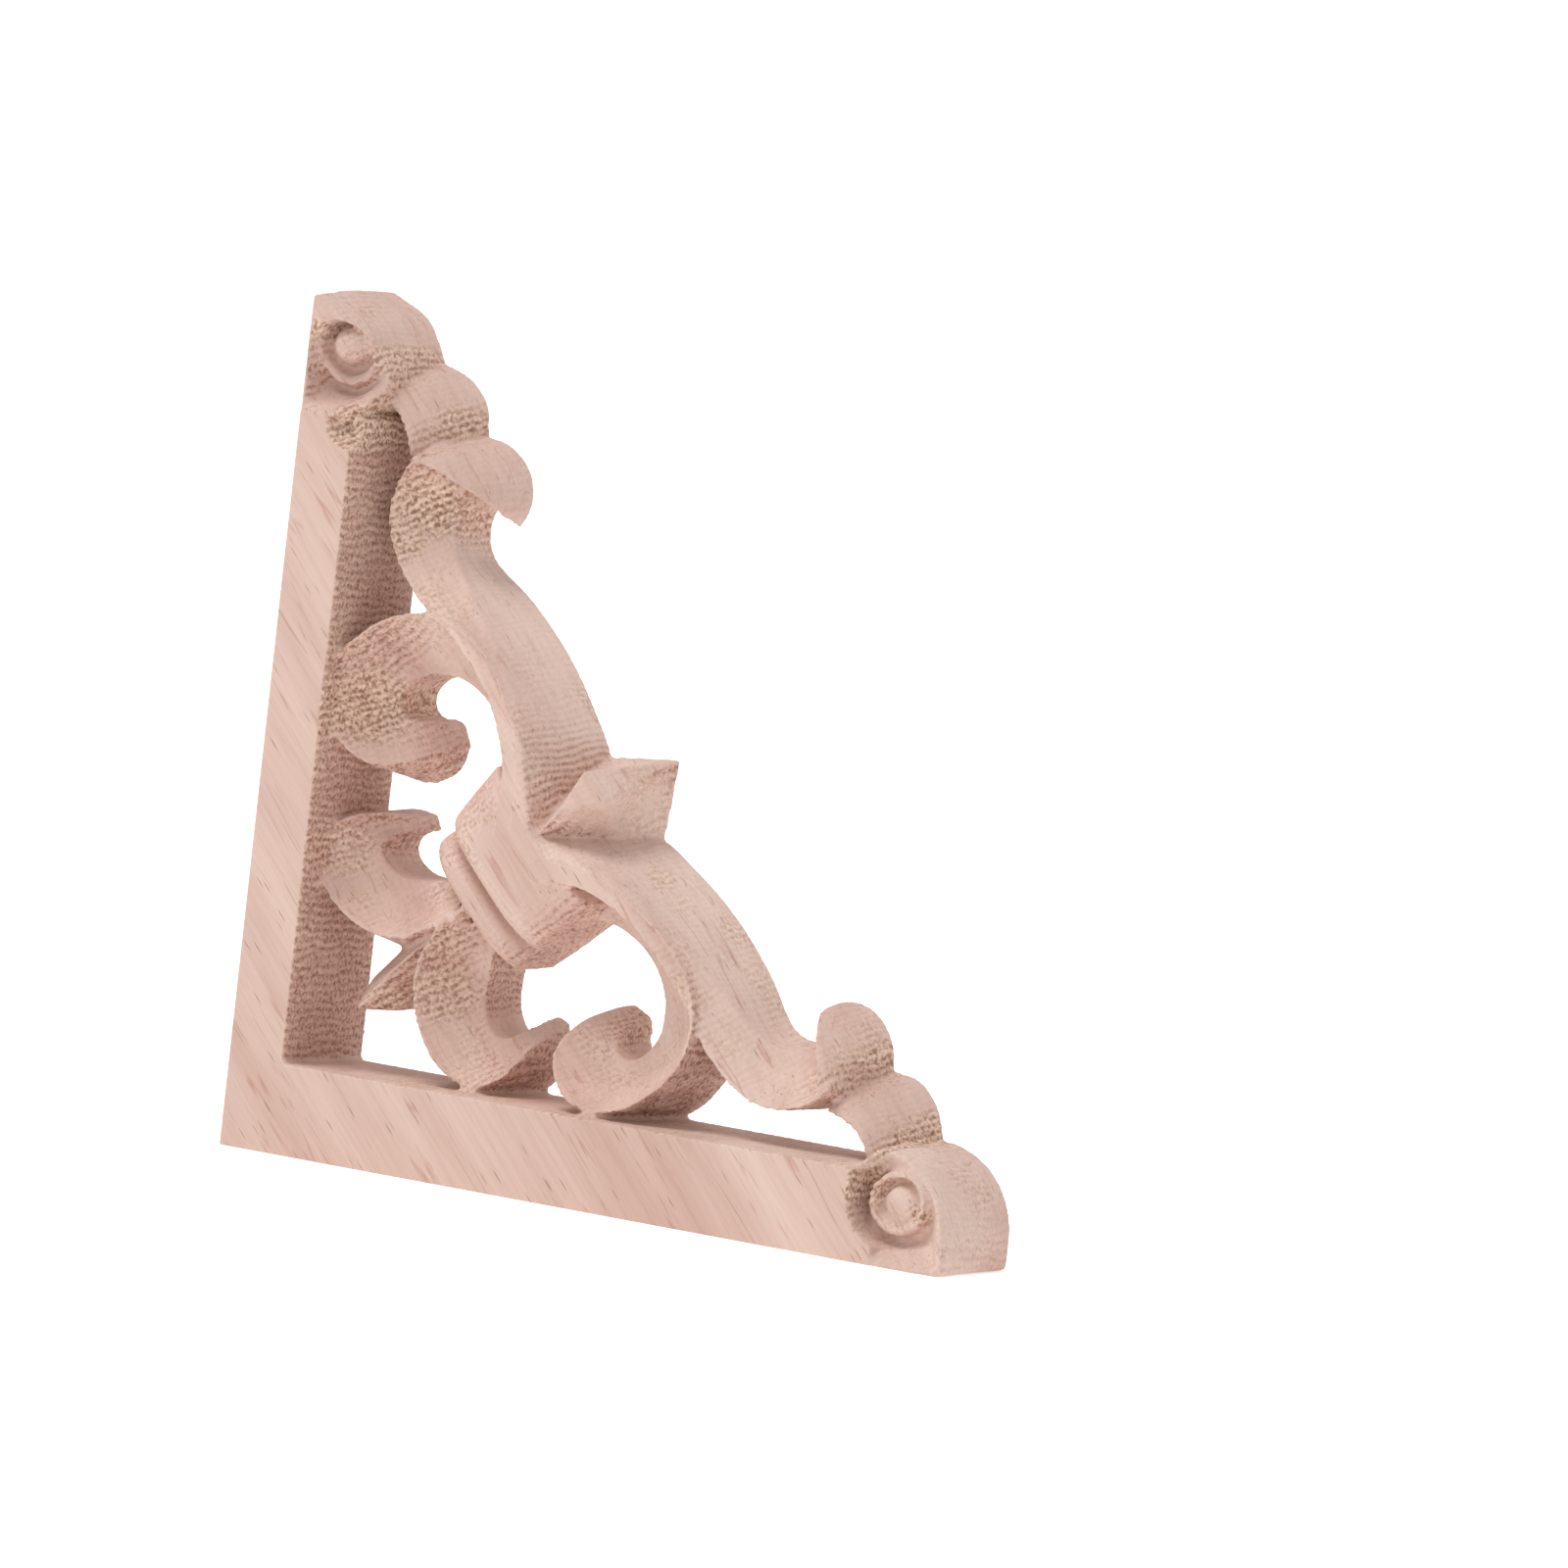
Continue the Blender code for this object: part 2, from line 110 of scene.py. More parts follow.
# End volutes: centre, boss, then the front all round it. Each row has the angle in degrees,
# radius and depth of the wire, depth of the groove inside it, radius and depth of the front
# arris, depth between wire and arris, and radius of the outline on the back.
# Straight sides and the bar cut the rows off where they reach further.
EYE_TOP = (7.1, 94.8)
EYE_TOP_BOSS = (2.15, 1.6, 2.0)       # radius, depth of its front, fall to its edge
VOLUTE_TOP = [(-165, 3.4, 1.2, 4.6, 5.0, 0.0, 1.2, 5.0),
              (-150, 3.5, 1.6, 4.8, 5.6, 0.0, 2.2, 5.6),
              (-131, 3.8, 2.2, 5.0, 8.6, 0.0, 3.8, 8.6),
              (-117, 4.2, 2.6, 5.2, 10.8, 0.0, 4.6, 10.8),
              (-106, 4.5, 2.8, 5.3, 10.0, 0.0, 5.0, 10.0),
              (-82, 4.8, 3.4, 5.6, 9.0, 0.2, 5.6, 9.0),
              (-63, 4.5, 3.9, 5.8, 8.0, 2.0, 5.8, 8.0),
              (-45, 4.1, 4.3, 6.0, 6.4, 6.0, 6.0, 6.6),
              (-27, 3.3, 4.4, 6.0, 3.9, 5.4, 5.4, 5.6),
              (-3, 2.7, 4.0, 6.0, 2.95, 4.4, 4.3, 4.3),
              (23, 2.6, 3.4, 6.0, 2.8, 3.7, 3.6, 3.6),
              (50, 2.6, 2.7, 6.0, 2.85, 3.0, 2.9, 3.75),
              (77, 2.7, 1.7, 6.2, 3.1, 2.0, 1.9, 4.2),
              (90, 3.0, 1.2, 6.2, 3.6, 1.4, 1.3, 4.6),
              (100, 3.3, 0.9, 6.2, 4.2, 1.0, 1.0, 5.0),
              (109, 3.5, 0.7, 6.2, 4.8, 0.7, 0.8, 5.6),
              (118, 3.6, 0.5, 6.2, 5.8, 0.4, 0.6, 6.6),
              (124, 3.6, 0.4, 6.2, 7.1, 0.3, 0.45, 7.5),
              (131, 3.6, 0.35, 6.2, 7.0, 0.2, 0.4, 7.2),
              (150, 3.5, 0.4, 6.0, 5.4, 0.1, 0.4, 5.4),
              (172, 3.4, 0.7, 5.4, 5.0, 0.0, 0.6, 5.0)]
EYE_END = (5.9, 96.6)
EYE_END_BOSS = (2.1, 2.5, 0.7)
VOLUTE_END = [(-138, 3.7, 2.4, 3.4, 14.5, 0.0, 4.6, 14.5),
              (-120, 3.7, 2.2, 4.0, 14.0, 0.0, 5.4, 14.0),
              (-90, 3.7, 2.1, 4.6, 14.5, 0.0, 5.9, 14.5),
              (-60, 3.7, 2.1, 5.0, 7.2, 3.4, 5.9, 7.4),
              (-40, 3.7, 2.2, 5.2, 7.6, 5.0, 5.4, 7.8),
              (-21, 3.7, 2.3, 5.2, 5.6, 5.0, 5.0, 6.8),
              (0, 3.7, 2.4, 5.1, 4.6, 4.2, 4.4, 5.8),
              (23, 3.7, 2.5, 4.8, 4.4, 3.7, 4.2, 5.3),
              (54, 3.65, 2.5, 4.3, 4.4, 3.1, 4.0, 5.3),
              (75, 3.65, 2.5, 4.0, 4.9, 2.8, 4.0, 5.75),
              (91, 3.65, 2.4, 3.9, 5.7, 2.5, 4.2, 6.35),
              (105, 3.65, 2.4, 3.7, 6.7, 2.0, 4.4, 7.1),
              (116, 3.7, 2.4, 3.5, 8.0, 1.4, 4.5, 7.85),
              (126, 3.7, 2.4, 3.4, 9.7, 0.8, 4.6, 8.7),
              (132, 3.7, 2.4, 3.3, 11.0, 0.5, 4.7, 9.6),
              (138, 3.7, 2.4, 3.3, 11.0, 0.4, 4.7, 10.3),
              (145, 3.7, 2.4, 3.3, 9.6, 0.3, 4.7, 9.6),
              (165, 3.7, 2.4, 3.2, 8.0, 0.2, 4.8, 8.0),
              (190, 3.7, 2.4, 3.2, 8.0, 0.1, 4.8, 8.0),
              (208, 3.7, 2.4, 3.2, 9.5, 0.0, 4.7, 9.5)]
VOLUTE_FOOT = 86.4                     # neither volute reaches below this along its bar
VOLUTE_FACETS = 144
KINK_PASSES = 3                        # times that a table's kinks are softened

# Profile of a volute outwards from its eye: shares of the boss radius; shares of the way
# to the wire and of the groove's depth there; shares of the way to the arris and of the
# cove's depth there; then the roll's share of the way to the back and its depth.
BOSS_GAP = 0.15
BOSS_SHAPE = (0.03, 0.35, 0.6, 0.8, 0.93)
GROOVE_SHAPE = [(0.15, 1.0), (0.4, 0.75), (0.6, 0.12)]
COVE_SHAPE = [(0.08, 1.0), (0.25, 0.88), (0.5, 0.5), (0.75, 0.12)]
ROLL_SHAPE = [(0.3, 6.5), (0.55, 9.6), (0.8, 13.2), (1.0, 16.5), (1.0, 17.0)]
ROLL_CROWN = (0.75, 122.0, 15.0)       # top volute: extra radius, angle and spread

# Where the bars' faces give way to the volutes: a scoop at the slot's end above, and below
# a groove round the wire, with its radius and the angles of its stations
SLOT_SCOOP = ((11.2, 87.0, -1.2), (4.6, 4.6, 4.2))
END_GROOVE = 5.3
END_GROOVE_TURNS = (-165, -150, -130, -110, -90)

# Corner scroll, from the diagonal round to its tip
N_RIM = [(29.0, 29.0, 3.0), (23.5, 26.3, 3.0), (17.6, 26.7, 3.2), (12.4, 29.8, 3.5),
         (10.0, 34.4, 4.0), (11.4, 38.4, 4.8), (15.0, 40.0, 8.0), (18.2, 39.8, 15.8)]
N_LIP = [(29.0, 34.0, 9.0), (22.5, 32.8, 9.2), (18.8, 33.0, 9.0), (16.5, 34.4, 8.6),
         (15.9, 36.0, 8.6), (16.6, 37.2, 9.4), (17.6, 37.8, 12.0), (18.8, 38.2, 16.0)]
N_DRAFT = [3.0, 3.4, 3.2, 2.2, 1.4, 0.8, 0.4, 0.2]

# Pointed leaf in the corner and the leaf between the two S bands. Pairs are a place along
# the diagonal (x and z alike) and a depth.
STAR_TIP = (16.6, 5.8)
STAR_ROOT = (32.0, 4.8)
STAR_RIDGE = (21.5, 4.6)
STAR_SIDE = (16.9, 20.2, 8.2)
STAR_EDGE = (20.4, 24.8, 9.6)
LEAF_ROOT = (44.2, 2.2)
LEAF_CREST = (47.6, 4.4)
LEAF_BLUNT = 1.7
LEAF_TIP = (51.2, 16.4)
LEAF_NOTCH = (41.7, 50.4)
LEAF_SIDE = (-0.2, -3.6, 11.0)         # side arris from the notch, and its depth
LEAF_BASE = (35.6, 5.0)
LEAF_FOOT = 33.0

# Collar across the diagonal: profile along the diagonal, then its width and crown
COLLAR = [(43.0, BACK), (43.0, 6.6), (43.7, 5.2), (45.0, 4.5), (46.4, 5.0), (47.1, 6.2),
          (47.7, 6.0), (48.0, 4.0), (49.2, 2.9), (52.0, 2.4), (58.0, 1.9), (60.0, BACK)]
COLLAR_HALF = 8.8
COLLAR_FLARE = 0.10
COLLAR_CROWN = 2.6
COLLAR_FACETS = 20                     # on each side of the diagonal

# Mesh: size of the fusing grid in mm, smoothing passes and their strength, triangles kept
VOXEL = 0.30
SMOOTHING = (3, 0.45)
FACES = 194000

# Surface left by the cutter: its passes lie in planes across PASS, and the wood is torn
# where it faces END_GRAIN. Each wobble row is a wave vector in radians per mm, its phase
# and its share of a pitch.
PASS = np.array([-0.62, 0.0, 0.79])
PASS_PITCH = 0.85
WOBBLE = [((0.55, 0.40, 0.62), 0.4, 0.16), ((-0.90, 0.75, 0.45), 2.1, 0.13),
          ((1.70, -1.10, 1.30), 4.0, 0.09), ((0.35, 2.30, -1.10), 5.2, 0.07)]
END_GRAIN = np.array([0.80, 0.0, -0.60])
TORN_FACING = (0.32, 0.78)
GRAIN_ANGLE = -47.0
CALM_ENDS = (91.5, 95.5)               # past here the outer ends were cut cleanly
CALM_SHARE = 0.75
RIDGE = 0.034                          # height of the ridges on sound wood, in mm
TORN = 0.165                           # more height where the wood is torn
TORN_VARIES = (0.75, 0.30, 7.0)        # mean, swing, and size of the swings in mm
GRIT = 0.04
GRIT_SIZES = (1.3, 1.0)
SEEDS = (11, 14, 15)
WAVES = 9                              # sine waves in one ripple field
PLANED_FRONT = (0.35, 0.05)            # planed faces fade out between these depths, in mm
PLANED_SIDE = (0.3, 0.1)

# Patches where the cutter tore the wood most: x, z, radius in mm, and how badly. They are
# at their full strength within the core share of the radius.
PATCHES = [(17.4, 77.0, 4.6, 1.0), (13.4, 52.5, 5.6, 0.9), (10.2, 85.4, 3.6, 1.0),
           (4.2, 96.4, 1.8, 0.8), (17.6, 86.8, 2.6, 0.6), (10.6, 93.4, 2.2, 0.6),
           (92.2, 7.2, 2.9, 1.0), (99.4, 5.0, 1.7, 0.9), (94.2, 7.6, 1.6, 0.8),
           (93.6, 14.2, 3.0, 0.9), (85.6, 21.2, 3.0, 0.7), (12.4, 35.2, 4.0, 0.5),
           (28.6, 20.4, 4.6, 0.6), (51.2, 20.3, 3.4, 0.5), (20.5, 17.0, 4.4, 0.6),
           (14.6, 72.4, 3.6, 0.7), (92.0, 12.0, 2.6, 0.8)]
PATCH_CORE = 0.45

# Patches that the cutter left clean: x, z, radius in mm
CLEAN = [(27.0, 60.5, 9.0), (24.6, 78.6, 4.4), (21.0, 93.0, 4.0), (48.2, 45.0, 5.4)]
CLEAN_CORE = 0.6
CLEAN_SHARE = 0.85

# Wood colours: growth bands, fibre streaks, torn end grain, painted shade and highlight, open
# pores
BAND_TONES = [(0.30, (0.610, 0.420, 0.355)), (0.46, (0.670, 0.485, 0.420)),
              (0.58, (0.715, 0.535, 0.465)), (0.75, (0.750, 0.575, 0.500))]
FIBRE_TONES = [(0.30, (0.94, 0.91, 0.89)), (0.55, (1.0, 1.0, 1.0)),
               (0.80, (1.03, 1.02, 1.02))]
RING_COLOUR = (0.48, 0.25, 0.19)
PLANED = (0.94, 0.925, 0.92)            # weathered face of the board against fresh cuts
# tan of the torn end grain, with painted shade in its grit's hollows and painted highlight on
# its crumbs
END_GRAIN_AND_SHADE_TONES = [(0.35, (0.30, 0.165, 0.11)), (0.43, (0.50, 0.32, 0.23)),
             (0.53, (0.71, 0.525, 0.40)), (0.66, (0.88, 0.71, 0.55))]
# painted shade in the grit's hollows and the ridges' valleys, painted highlight on their crests
PAINTED_SHADE_TONES = [(0.33, (0.50, 0.36, 0.31)), (0.43, (0.74, 0.63, 0.58)),
                 (0.53, (0.94, 0.86, 0.82)), (0.68, (1.05, 0.99, 0.95))]
PORE_COLOUR = (0.30, 0.145, 0.105)

# Sizes of the wood's patterns: turns per mm along the grain and twice across it
BAND_SCALE = (0.008, 0.06, 0.14)
FIBRE_SCALE = (0.09, 1.1, 1.8)
RING_SCALE = (0.02, 0.25, 0.42)
BREAK_SCALE = (0.11, 0.9, 0.9)
PORE_SCALE = (0.17, 2.1, 2.1)
LOOSE_SCALE = (0.13, 0.13, 0.13)
CRUMB_SCALE = (2.2, 2.2, 2.2)
PIT_SCALE = (3.9, 3.9, 3.9)

# Where each pattern starts and ends, as stops of value and share
RING_STOPS = [(0.0, 1), (0.018, 0)]
BREAK_STOPS = [(0.50, 0), (0.58, 1)]
PORE_STOPS = [(0.08, 1), (0.22, 0)]
PORE_CHOICE = 0.62                     # cells above this value hold a pore
LOOSE_STOPS = [(0.50, 0), (0.66, 1)]
FACE_STOPS = [(0.97, 1), (0.995, 0)]   # by how squarely the surface faces front or back
INSIDE_STOPS = [(0.1, 0), (0.3, 1)]    # mm in from the outer side or the underside
PIT_STOPS = [(0.30, 1), (0.38, 0)]

# Strength of each pattern in the colour, and of each in the bump
RING_SHARE = 0.6
LOOSE_SHARE = 0.3
# WORKED_SHARE: painted shade and highlight laid faintly over all carved wood
WORKED_SHARE = 0.12
END_SHARE = 0.72
PORE_SHARE = 0.6
PIT_SHARE = 0.65
# RIDGE_SHARE: ridges in the colour, painted shade in their valleys and painted highlight on
# their crests
RIDGE_SHARE = 0.06
FIBRE_BUMP = 0.5
CRUMB_BUMP = 1.6
HOLE_BUMP = 1.2
BUMP_STRENGTH = 0.8
BUMP_DISTANCE = 0.00006
WOOD_ROUGHNESS = 0.85
WOOD_SPECULAR = 0.22

# Floor in metres: its front, where it starts to curve up, the curve's radius, its top and
# half its width; then its own colour, roughness and glow
FLOOR_FRONT = -3.0
FLOOR_BEND = 1.2
FLOOR_RADIUS = 0.9
FLOOR_TOP = 4.0
FLOOR_HALF = 4.0
FLOOR_FACETS = 14
FLOOR_COLOUR = (0.9, 0.9, 0.9, 1)
FLOOR_ROUGHNESS = 0.9
FLOOR_GLOW = 0.42

# Light: the surrounding studio, then name, place and size in metres and power of each lamp
STUDIO_COLOUR = (1.0, 0.985, 0.97, 1.0)
STUDIO_STRENGTH = 0.41
LAMPS = [("key", (-0.4, -0.55, 1.8), 0.9, 19.0),
         ("fill", (1.1, -1.5, 0.6), 1.2, 4.0),
         ("left", (-1.4, -1.1, 0.5), 1.0, 3.2)]
LAMP_TARGET = (0.0, 0.0, 0.05)

# Camera: the photograph's view, as a rotation vector in radians and a shift in mm, and the
# focal length in pixels of the 1600 pixel frame; sensor in mm, clipping in metres
CAMERA_TURN = (1.5724, 0.5500, -0.3394)
CAMERA_SHIFT = (-69.79, 40.91, 1771.2)
CAMERA_FOCUS = 15182.0
FRAME_PIXELS = 1600.0
SENSOR = 36.0
CLIP = (0.05, 20.0)


def spline(points, steps=STEPS):
    """Smooth curve through the points, as cubic Bezier spans with shared tangents."""
    pts = [Vector(p) for p in points]
    out = []
    for i in range(len(pts) - 1):
        before = pts[max(i - 1, 0)]
        after = pts[min(i + 2, len(pts) - 1)]
        a, b = pts[i], pts[i + 1]
        h1 = a + (b - before) / 6.0
        h2 = b - (after - a) / 6.0
        for k in range(steps):
            t = k / steps
            s = 1.0 - t
            out.append(a * s ** 3 + h1 * 3 * s * s * t + h2 * 3 * s * t * t + b * t ** 3)
    out.append(pts[-1])
    return out


def place(x, z, y, mirror):
    """Blender's x, y, z of a point of the drawing, for the upper or the lower member."""
    return (z, y, x) if mirror else (x, y, z)


def finish(name, bm):
    """Triangulated object from a closed bmesh, with its normals outward."""
    bm.normal_update()
    bmesh.ops.triangulate(bm, faces=bm.faces[:])
    bmesh.ops.recalc_face_normals(bm, faces=bm.faces[:])
    mesh = bpy.data.meshes.new(name)
    bm.to_mesh(mesh)
    bm.free()
    obj = bpy.data.objects.new(name, mesh)
    bpy.context.scene.collection.objects.link(obj)
    return obj


def solid(name, rings, mirror=False):
    """Closed solid lofted through rings of (x, z, y) points, capped at both ends."""
    bm = bmesh.new()
    layers = [[bm.verts.new(place(*p, mirror)) for p in ring] for ring in rings]
    for lower, upper in zip(layers, layers[1:]):
        for i in range(len(lower)):
            j = (i + 1) % len(lower)
            bm.faces.new((lower[i], lower[j], upper[j], upper[i]))
    bm.faces.new(list(reversed(layers[0])))
    bm.faces.new(layers[-1])
    return finish(name, bm)


def prism(name, outline, near, far):
    """Straight extrusion of an (x, z) outline between two depths."""
    return solid(name, [[(x, z, y) for x, z in outline] for y in (near, far)])


def across(rim, lip, share, dish):
    """Point on the dished face between rim and lip."""
    p = rim.lerp(lip, share)
    p.z = rim.z + (lip.z - rim.z) * math.sin(share * math.pi / 2) ** dish
    return tuple(p)


def outward(rim, lip, amount):
    """Point on the back, pushed away from the lip by the draft of the wall."""
    away = Vector((rim.x - lip.x, rim.y - lip.y))
    away.normalize()
    return (rim.x + away.x * amount, rim.y + away.y * amount, BACK)


def scroll(name, rim, lip, draft, mirror):
    """Dished scroll band with a wall on each side, running to the flat back."""
    rims, lips = spline(rim), spline(lip)
    drafts = [p.x for p in spline([(d, 0.0, 0.0) for d in draft])]
    rings = []
    for r, l, d in zip(rims, lips, drafts):
        rings.append([outward(r, l, d), tuple(r)]
                     + [across(r, l, k / SCROLL_FACETS, SCROLL_DISH)
                        for k in range(1, SCROLL_FACETS)]
                     + [tuple(l), (l.x, l.y, BACK)])
    return solid(name, rings, mirror)


def s_band(mirror):
    """S band: dished from its rim to the crest, then falling to the outline on the back."""
    rims, crests = spline(S_RIM), spline(S_CREST)
    backs = spline([(x, z, BACK - LAND) for x, z in S_BACK])
    rings = []
    for r, c, b in zip(rims, crests, backs):
        rings.append([(r.x, r.y, BACK), tuple(r)]
                     + [across(r, c, k / S_FACETS, S_DISH) for k in range(1, S_FACETS)]
                     + [tuple(c), tuple(c.lerp(b, 0.5)), tuple(b), (b.x, b.y, BACK)])
    return solid("s_band", rings, mirror)


def fan(name, edge, back, mirror):
    """Rolled leaf: arris in front, outline on the back, bulging slope between them."""
    edges = spline(edge)
    backs = spline([(x, z, BACK - LAND) for x, z in back])
    rings = []
    for e, b in zip(edges, backs):
        ring = [(e.x, e.y, BACK), tuple(e)]
        for k in range(1, FAN_FACETS):
            share = k / FAN_FACETS
            p = e.lerp(b, share)
            p.z -= FAN_BULGE * share * (1.0 - share) * (b.z - e.z)
            ring.append(tuple(p))
        rings.append(ring + [tuple(b), (b.x, b.y, BACK)])
    return solid(name, rings, mirror)


def around(rows, count):
    """Rows of an angle table at even steps round the circle, with their kinks softened."""
    angles = [r[0] for r in rows] + [rows[0][0] + 360.0]
    steps = np.arange(count) * 360.0 / count
    spots = (steps - angles[0]) % 360.0 + angles[0]
    columns = []
    for i in range(1, len(rows[0])):
        values = np.interp(spots, angles, [r[i] for r in rows] + [rows[0][i]])
        for _ in range(KINK_PASSES):
            values = 0.25 * np.roll(values, 1) + 0.5 * values + 0.25 * np.roll(values, -1)
        columns.append(values)
    return np.radians(steps), columns


def volute(mirror):
    """End volute in rings round its eye: boss, groove, wire, front, then roll to the back."""
    centre = EYE_END if mirror else EYE_TOP
    radius, front, fall = EYE_END_BOSS if mirror else EYE_TOP_BOSS
    turns, columns = around(VOLUTE_END if mirror else VOLUTE_TOP, VOLUTE_FACETS)
    wire, wire_y, groove_y, arris, arris_y, cove_y, back = columns
    side = centre[0] - (BOTTOM if mirror else LEFT)
    foot = centre[1] - VOLUTE_FOOT
    limit = np.minimum(side / np.maximum(-np.cos(turns), 0.01),
                       foot / np.maximum(-np.sin(turns), 0.01))
    arris, back = np.minimum(arris, limit), np.minimum(back, limit)
    still = np.ones_like(turns)
    inner = radius + BOSS_GAP
    stack = [(radius * s * still, (front + fall * s ** 3) * still) for s in BOSS_SHAPE]
    stack += [(inner + s * (wire - inner), deep * groove_y + (1.0 - deep) * wire_y)
              for s, deep in GROOVE_SHAPE] + [(wire, wire_y)]
    stack += [(wire + s * (arris - wire), deep * cove_y + (1.0 - deep) * arris_y)
              for s, deep in COVE_SHAPE] + [(arris, arris_y)]
    rise, at, wide = ROLL_CROWN
    crown = (0.0 if mirror else rise) * np.exp(-((np.degrees(turns) - at) / wide) ** 2)
    stack += [(np.minimum(arris + (back - arris) * s
                          + crown * math.sin(math.pi * depth / BACK), limit), depth * still)
              for s, depth in ROLL_SHAPE]
    rings = [[(centre[0] + r * math.cos(t), centre[1] + r * math.sin(t), y)
              for t, r, y in zip(turns, rs, ys)] for rs, ys in stack]
    return solid("volute", rings, mirror)


def star():
    """Pointed leaf that fills the corner of the bars."""
    tip = (STAR_TIP[0], STAR_TIP[0], STAR_TIP[1])
    root = (STAR_ROOT[0], STAR_ROOT[0], STAR_ROOT[1])
    side, edge = STAR_SIDE, STAR_EDGE
    front = [tip, (side[1], side[0], side[2]), (edge[1], edge[0], edge[2]), root, edge, side]
    bm = bmesh.new()
    top = [bm.verts.new((x, y, z)) for x, z, y in front]
    low = [bm.verts.new((x, BACK, z)) for x, z, _ in front]
    ridge = bm.verts.new((STAR_RIDGE[0], STAR_RIDGE[1], STAR_RIDGE[0]))
    n = len(front)
    for i in range(n):
        j = (i + 1) % n
        bm.faces.new((top[i], top[j], ridge))
        bm.faces.new((top[j], top[i], low[i], low[j]))
    bm.faces.new(low)
    return finish("star", bm)


def leaf():
    """Blunt leaf that springs from between the S bands."""
    tip = (LEAF_TIP[0], LEAF_TIP[0])
    root = (LEAF_ROOT[0], LEAF_ROOT[0])
    a = LEAF_NOTCH
    b = (a[1], a[0])
    bm = bmesh.new()

    def vert(x, z, y):
        return bm.verts.new((x, y, z))
    low = [vert(LEAF_FOOT, LEAF_FOOT, BACK), vert(*b, BACK), vert(*tip, BACK), vert(*a, BACK)]
    heart = vert(*root, LEAF_ROOT[1])
    up = vert(LEAF_CREST[0] - LEAF_BLUNT, LEAF_CREST[0] + LEAF_BLUNT, LEAF_CREST[1])
    down = vert(LEAF_CREST[0] + LEAF_BLUNT, LEAF_CREST[0] - LEAF_BLUNT, LEAF_CREST[1])
    point = vert(*tip, LEAF_TIP[1])
    left = vert(a[0] + LEAF_SIDE[0], a[1] + LEAF_SIDE[1], LEAF_SIDE[2])
    right = vert(b[0] + LEAF_SIDE[1], b[1] + LEAF_SIDE[0], LEAF_SIDE[2])
    base = vert(LEAF_BASE[0], LEAF_BASE[0], LEAF_BASE[1])
    for loop in ((low[0], low[1], low[2], low[3]), (base, heart, left), (base, right, heart),
                 (heart, up, left), (heart, right, down), (heart, down, up),
                 (up, point, left), (up, down, point), (down, right, point),
                 (left, point, low[2], low[3]), (right, low[1], low[2], point),
                 (base, left, low[3], low[0]), (base, low[0], low[1], right)):
        bm.faces.new(loop)
    return finish("leaf", bm)


def collar():
    """Bead and step across the diagonal, crowned so that both ends fall back."""
    half = math.sqrt(0.5)
    profile = [(p.x, p.y) for p in spline([(p, y, 0.0) for p, y in COLLAR[1:-1]], 4)]
    profile = [COLLAR[0]] + profile + [COLLAR[-1]]
    rings = []
    for k in range(-COLLAR_FACETS, COLLAR_FACETS + 1):
        share = k / COLLAR_FACETS
        ring = []
        for p, y in profile:
            q = share * (COLLAR_HALF + COLLAR_FLARE * (p - profile[0][0]))
            deep = y if y == BACK else y + COLLAR_CROWN * share ** 4
            ring.append(((p - q) * half, (p + q) * half, deep))
        rings.append(ring)
    return solid("collar", rings)


def join(parts):
    """One mesh from many, as arrays of points and triangles."""
    points, faces, start = [], [], 0
    for obj in parts:
        mesh = obj.data
        co = np.empty(len(mesh.vertices) * 3)
        mesh.vertices.foreach_get("co", co)
        mesh.calc_loop_triangles()
        tri = np.empty(len(mesh.loop_triangles) * 3, np.int32)
        mesh.loop_triangles.foreach_get("vertices", tri)
        points.append(co.reshape(-1, 3))
        faces.append(tri.reshape(-1, 3) + start)
        start += len(mesh.vertices)
        bpy.data.objects.remove(obj)
    return np.concatenate(points), np.concatenate(faces)


def mesh_object(name, points, faces):
    """Object from arrays of points and triangles."""
    mesh = bpy.data.meshes.new(name)
    mesh.from_pydata(points.tolist(), [], faces.tolist())
    mesh.update()
    obj = bpy.data.objects.new(name, mesh)
    bpy.context.scene.collection.objects.link(obj)
    return obj


def applied(obj):
    """The object with its modifiers applied."""
    graph = bpy.context.evaluated_depsgraph_get()
    mesh = bpy.data.meshes.new_from_object(obj.evaluated_get(graph))
    obj.modifiers.clear()
    obj.data = mesh
    return obj


def cut(body, tool):
    """The body with the tool's volume taken out of it."""
    mod = body.modifiers.new("cut", "BOOLEAN")
    mod.operation = "DIFFERENCE"
    mod.solver = "MANIFOLD"
    mod.object = tool
    applied(body)
    bpy.data.objects.remove(tool)
    return body


def ball(centre, radii):
    """Ellipsoid with its centre and radii given as x, z, y."""
    bm = bmesh.new()
    bmesh.ops.create_icosphere(bm, subdivisions=4, radius=1.0)
    for v in bm.verts:
        x, y, z = v.co
        v.co = (centre[0] + x * radii[0], centre[2] + y * radii[2], centre[1] + z * radii[1])
    return finish("scoop", bm)


